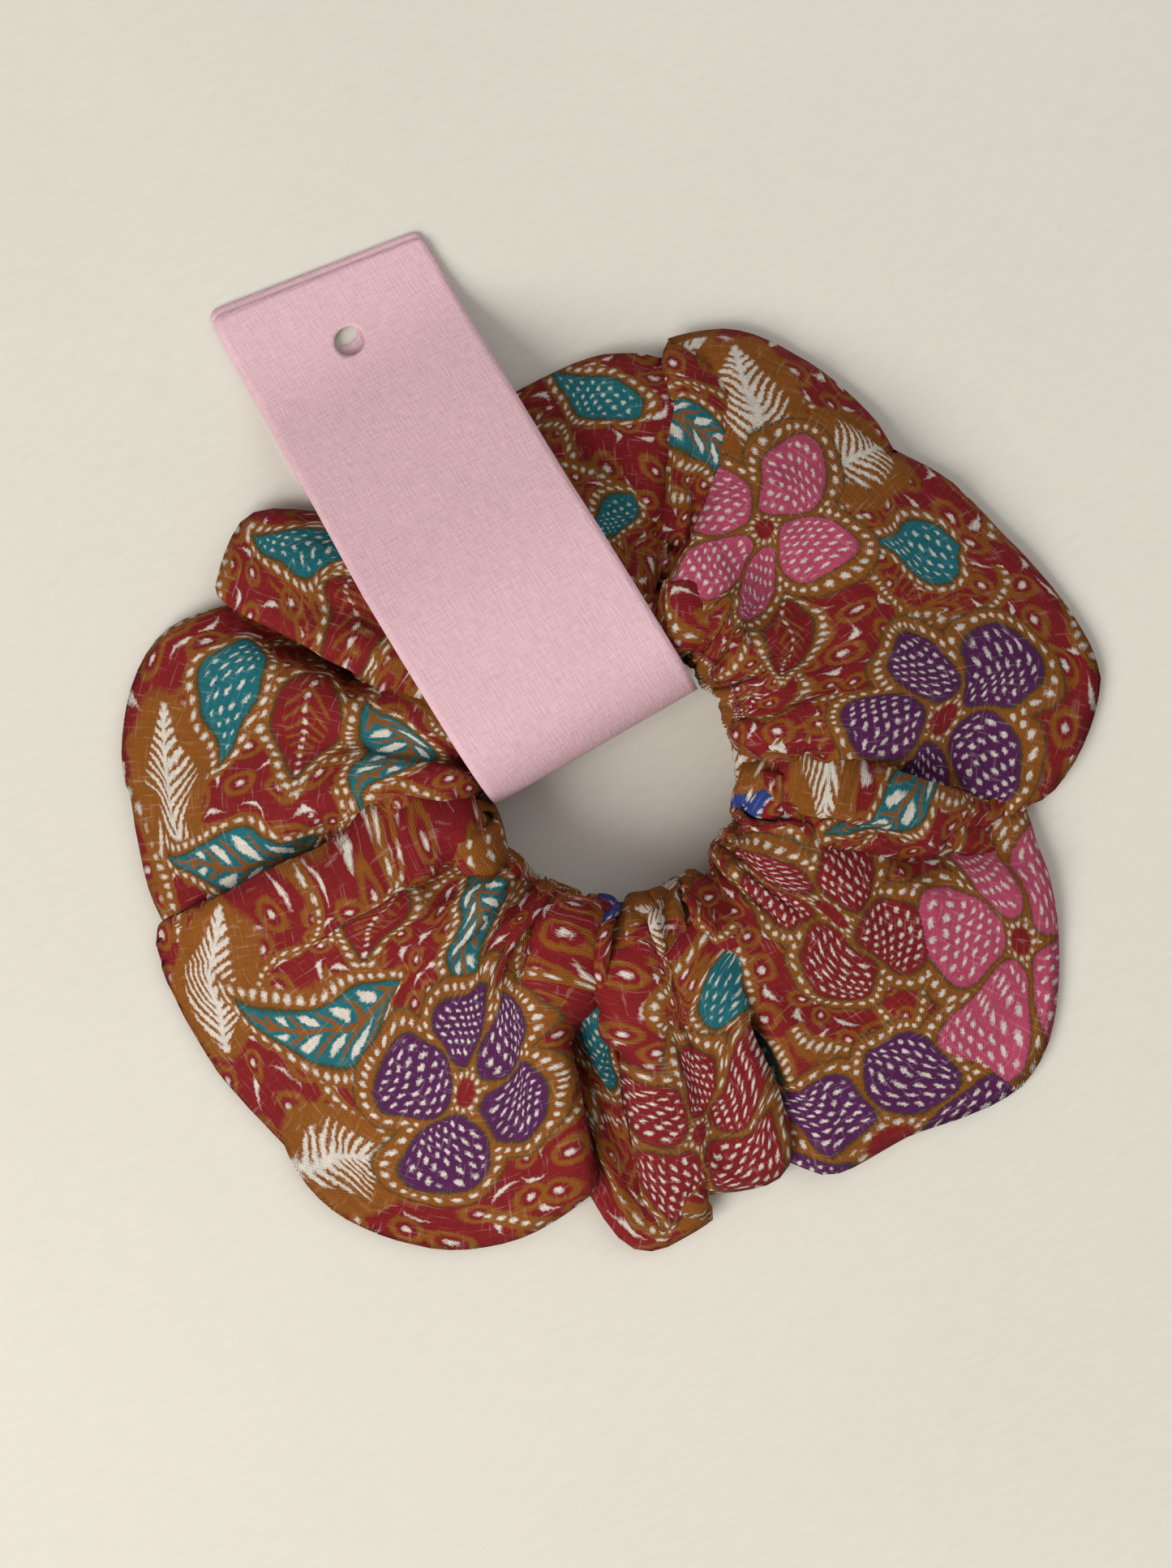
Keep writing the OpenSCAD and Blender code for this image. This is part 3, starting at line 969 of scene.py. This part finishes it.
def underside(node):
    """The lower face of a CAD leaf seen from the side, as sorted (y, z) points."""
    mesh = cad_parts[node].data
    corners = {
        tuple(round(value, 6) for value in mesh.vertices[index].co[1:])
        for face in mesh.polygons if face.normal.z < -0.2
        for index in face.vertices
    }
    return np.array(sorted(corners))


def card_routes(settings):
    """Middle lines of the two leaves as (y, z) points, each from the crease to its far end."""
    half = settings.thickness / 2
    _, back_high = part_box("tag_back_leaf")
    front_low, front_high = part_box("tag_front_leaf")
    radius = (front_high[2] - 2 * half) / 2
    centre = np.array([front_low[1] + half + radius, half + radius])
    turn = np.linspace(0, math.pi / 2, 17)
    up = centre + radius * np.stack([-np.cos(turn), np.sin(turn)], 1)
    down = centre + radius * np.stack([-np.cos(turn), -np.sin(turn)], 1)
    back = even_route(np.vstack([down, [(back_high[1], half)]]))
    below = underside("tag_front_leaf")
    below = below[below[:, 0] > centre[0] + 0.002]
    front = even_route(np.vstack([up, below + (0.0, half)]))
    # the card is stiff: past its bend it takes the ring's slope in one long curve
    free = np.clip((front[:, 0] - centre[0] - 0.002) / 0.008, 0, 1)[1:-1, None]
    for _ in range(90):
        eased = (front[:-2] + 2 * front[1:-1] + front[2:]) / 4
        front[1:-1] += (eased - front[1:-1]) * free
    return back, front


def even_route(route, step=0.0008):
    """The same line with evenly spaced points."""
    length = np.concatenate([[0], np.cumsum(np.hypot(*np.diff(route, axis=0).T))])
    at = np.linspace(0, length[-1], round(length[-1] / step))
    return np.stack([np.interp(at, length, route[:, k]) for k in (0, 1)], 1)


def round_corners(flat, half, end, radius):
    """Rounds a sheet's two far corners."""
    beside = np.abs(flat[:, 0]) - (half - radius)
    beyond = flat[:, 1] - (end - radius)
    corner = (beside > 0) & (beyond > 0)
    share = np.maximum(beside, beyond)[corner] / np.hypot(beside, beyond)[corner]
    flat[corner, 0] = np.sign(flat[corner, 0]) * (half - radius + beside[corner] * share)
    flat[corner, 1] = end - radius + beyond[corner] * share


def build_leaf(name, route, drift, hole, node, material, settings):
    """One leaf of the card with its hanging hole: drift is how far it strays sideways along its length, as
    shares and millimetres, and hole is (x, distance from the far end, radius)."""
    low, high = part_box(node)
    at = np.concatenate([[0], np.cumsum(np.hypot(*np.diff(route, axis=0).T))])
    end = at[-1]
    lean = np.gradient(route, axis=0)
    lean /= np.linalg.norm(lean, axis=1, keepdims=True)
    middle = (low[0] + high[0]) / 2
    across = np.linspace(low[0] - middle, high[0] - middle, 33)
    flat = [(a, l) for l in at for a in across]
    hole_a, hole_l, radius = hole[0], end - hole[1], hole[2]
    columns = len(across)
    patch = 2.4 * radius
    near_a, near_l = (
        [k for k in range(len(row) - 1) if abs(row[k] - place) < patch > abs(row[k + 1] - place)]
        for row, place in ((across, hole_a), (at, hole_l))
    )
    faces = [
        (k * columns + i, k * columns + i + 1, (k + 1) * columns + i + 1, (k + 1) * columns + i)
        for k in range(len(at) - 1) for i in range(columns - 1)
        if not (i in near_a and k in near_l)
    ]
    left, right, first, last = near_a[0], near_a[-1] + 1, near_l[0], near_l[-1] + 1
    loop = (
        [first * columns + i for i in range(left, right)]
        + [k * columns + right for k in range(first, last)]
        + [last * columns + i for i in range(right, left, -1)]
        + [k * columns + left for k in range(last, first, -1)]
    )
    rings, ring = 6, loop
    for step in range(1, rings + 1):
        made = []
        for index in loop:
            a, l = flat[index]
            turn = math.atan2(l - hole_l, a - hole_a)
            rim = (hole_a + radius * math.cos(turn), hole_l + radius * math.sin(turn))
            share = step / rings
            made.append(len(flat))
            flat.append((a + (rim[0] - a) * share, l + (rim[1] - l) * share))
        ahead, made_ahead = ring[1:] + ring[:1], made[1:] + made[:1]
        faces += list(zip(ring, ahead, made_ahead, made))
        ring = made
    flat = np.array(flat)
    round_corners(flat, across[-1], end, CARD_CORNER)
    # the end is cut a little out of square
    near_end = np.clip((flat[:, 1] - end + SKEWED_END) / SKEWED_END, 0, 1)
    flat[:, 1] -= flat[:, 0] * END_SKEW * near_end
    stretch = np.clip(flat[:, 1] - end, 0, None)
    y, z = (np.interp(flat[:, 1], at, route[:, k]) for k in (0, 1))
    lean_y, lean_z = (np.interp(flat[:, 1], at, lean[:, k]) for k in (0, 1))
    y = y + stretch
    x = middle + flat[:, 0] + np.interp(flat[:, 1] / end, drift[0], drift[1]) * MM
    half = settings.thickness / 2
    sheets = [np.stack([x, y - lean_z * off, z + lean_y * off], 1) for off in (half, -half)]
    count = len(flat)
    sides = {}
    for face in faces:
        for a, b in zip(face, face[1:] + face[:1]):
            sides[(a, b)] = True
    walls = [(b, a, a + count, b + count) for a, b in sides if (b, a) not in sides]
    below = [tuple(index + count for index in reversed(face)) for face in faces]
    leaf = new_object(name, np.concatenate(sheets), faces + below + walls, material)
    place = np.concatenate([flat, flat])
    corners = np.array([index for face in leaf.data.polygons for index in face.vertices])
    put_uv(leaf, "Strip", place[corners])
    smooth_faces = [k < 2 * len(faces) for k in range(len(leaf.data.polygons))]
    leaf.data.polygons.foreach_set("use_smooth", smooth_faces)
    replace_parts(leaf, node)
    return leaf


def build_tag(settings, material):
    """The folded card: the back leaf under the ring, and the front leaf over it."""
    back_route, front_route = card_routes(settings)
    back_drift = ((0, 0.25, 0.55, 0.75, 1), (0, -0.9, -1.6, -1.7, -1.3))
    front_drift = ((0, 0.17, 0.45, 1), (0, -0.6, -1.3, -1.3))
    # the two holes were punched in the flat card, so they miss each other once it is folded
    back_hole, front_hole = (-0.0003, 0.0085, HOLE_RADIUS), (-0.0003, 0.00945, HOLE_RADIUS)
    back = build_leaf("tag_back", back_route, back_drift, back_hole, "tag_back_leaf", material, settings)
    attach(back, BACK_BODY)
    front_node = "tag_front_leaf"
    front = build_leaf("tag_front", front_route, front_drift, front_hole, front_node, material, settings)
    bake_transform(front)


# ---------------------------------------------------------------- the stage


def add_area(name, place, target, size, energy, tint):
    light = bpy.data.lights.new(name, "AREA")
    light.energy = energy
    light.size = size
    light.color = tint
    made = bpy.data.objects.new(name, light)
    made.location = place
    made.rotation_euler = (Vector(target) - Vector(place)).to_track_quat("-Z", "Y").to_euler()
    bpy.context.collection.objects.link(made)


def build_stage(settings):
    centre = Vector(ring_centre())
    up = Vector((math.sin(settings.roll), math.cos(settings.roll), 0))
    right = Vector((math.cos(settings.roll), -math.sin(settings.roll), 0))
    target = centre - right * 0.0033 - up * 0.0013
    corners = [(-2, -2, 0), (2, -2, 0), (2, 2, 0), (-2, 2, 0)]
    table = new_object("table", corners, [(0, 1, 2, 3)], table_top())
    table.location = (0, 0, cad_box[0][2] - 0.0002)
    camera = bpy.data.cameras.new("camera")
    camera.sensor_fit = "HORIZONTAL"
    camera.sensor_width = 24
    camera.lens = 24 * settings.distance / settings.view_width
    camera.clip_start = 0.01
    made = bpy.data.objects.new("camera", camera)
    made.location = target + Vector((0, 0, settings.distance))
    made.rotation_euler = (0, 0, -settings.roll)
    bpy.context.collection.objects.link(made)
    scene = bpy.context.scene
    scene.camera = made
    scene.view_settings.view_transform = "Standard"
    window_place = centre - right * 0.55 - up * 0.55 + Vector((0, 0, 0.75))
    fill_place = centre + right * 0.6 + up * 0.5 + Vector((0, 0, 0.9))
    add_area("window", window_place, centre, 0.7, 11.5, (1.0, 0.97, 0.93))
    add_area("fill", fill_place, centre, 1.0, 3.0, (0.95, 0.97, 1.0))
    world = bpy.data.worlds.new("room")
    world.use_nodes = True
    background = world.node_tree.nodes["Background"]
    background.inputs["Color"].default_value = (1.0, 0.98, 0.95, 1)
    background.inputs["Strength"].default_value = 0.4
    scene.world = world


# ---------------------------------------------------------------- operators


def scene_settings():
    return bpy.context.scene.scrunchie


class ScrunchieSettings(bpy.types.PropertyGroup):
    cloth: PointerProperty(type=ClothSettings, name="Cloth", description="Sizes of the cloth")
    print_inks: PointerProperty(type=PrintSettings, name="Print", description="Colours of the print")
    card: PointerProperty(type=CardSettings, name="Card", description="Sizes and colour of the hang tag")
    stage: PointerProperty(type=StageSettings, name="Stage", description="Camera and table")


class SCRUNCHIE_OT_cloth(bpy.types.Operator):
    """Builds the gathered cotton tube and the stitching along its seams"""

    bl_idname = "scrunchie.cloth"
    bl_label = "Gathered Cloth"

    def execute(self, context):
        settings = scene_settings()
        cotton = printed_cotton(settings.print_inks, settings.cloth)
        outer = build_cover(settings.cloth, settings.card, cotton)
        build_stitching(outer, settings.cloth, spun_thread())
        return {"FINISHED"}


class SCRUNCHIE_OT_elastic(bpy.types.Operator):
    """Finishes the elastic and the zigzag that joins its ends, which stay as the frame has them"""

    bl_idname = "scrunchie.elastic"
    bl_label = "Elastic"

    def execute(self, context):
        finishes = {
            "elastic_band": braided_elastic(),
            "elastic_zigzag_needle_thread": spun_thread(),
            "elastic_zigzag_bobbin_thread": spun_thread(),
        }
        for node, material in finishes.items():
            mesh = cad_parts[node].data
            mesh.materials.clear()
            mesh.materials.append(material)
        return {"FINISHED"}


class SCRUNCHIE_OT_tag(bpy.types.Operator):
    """Builds the two leaves of the folded card"""

    bl_idname = "scrunchie.tag"
    bl_label = "Hang Tag"

    def execute(self, context):
        settings = scene_settings()
        build_tag(settings.card, linen_card(settings.card))
        return {"FINISHED"}


class SCRUNCHIE_OT_stage(bpy.types.Operator):
    """Sets the table, the soft light and the camera"""

    bl_idname = "scrunchie.stage"
    bl_label = "Stage"

    def execute(self, context):
        build_stage(scene_settings().stage)
        return {"FINISHED"}


class SCRUNCHIE_PT_panel(bpy.types.Panel):
    """Lists the pieces of the scrunchie and their sizes"""

    bl_idname = "SCRUNCHIE_PT_panel"
    bl_label = "Scrunchie"
    bl_space_type = "VIEW_3D"
    bl_region_type = "UI"
    bl_category = "Scrunchie"

    def draw(self, context):
        settings = context.scene.scrunchie
        for operator, groups in (
            (SCRUNCHIE_OT_cloth, [settings.cloth, settings.print_inks]),
            (SCRUNCHIE_OT_elastic, []),
            (SCRUNCHIE_OT_tag, [settings.card]),
            (SCRUNCHIE_OT_stage, [settings.stage]),
        ):
            box = self.layout.box()
            box.operator(operator.bl_idname)
            for group in groups:
                for name in group.__annotations__:
                    box.prop(group, name)


CLASSES = (
    ClothSettings, PrintSettings, CardSettings, StageSettings, ScrunchieSettings,
    SCRUNCHIE_OT_cloth, SCRUNCHIE_OT_elastic, SCRUNCHIE_OT_tag, SCRUNCHIE_OT_stage, SCRUNCHIE_PT_panel,
)


def register():
    for made in CLASSES:
        bpy.utils.register_class(made)
    bpy.types.Scene.scrunchie = PointerProperty(type=ScrunchieSettings)


def unregister():
    del bpy.types.Scene.scrunchie
    for made in reversed(CLASSES):
        bpy.utils.unregister_class(made)


def main():
    register()
    bpy.ops.scrunchie.stage()
    bpy.ops.scrunchie.cloth()
    bpy.ops.scrunchie.elastic()
    bpy.ops.scrunchie.tag()


if __name__ == "__main__":
    main()
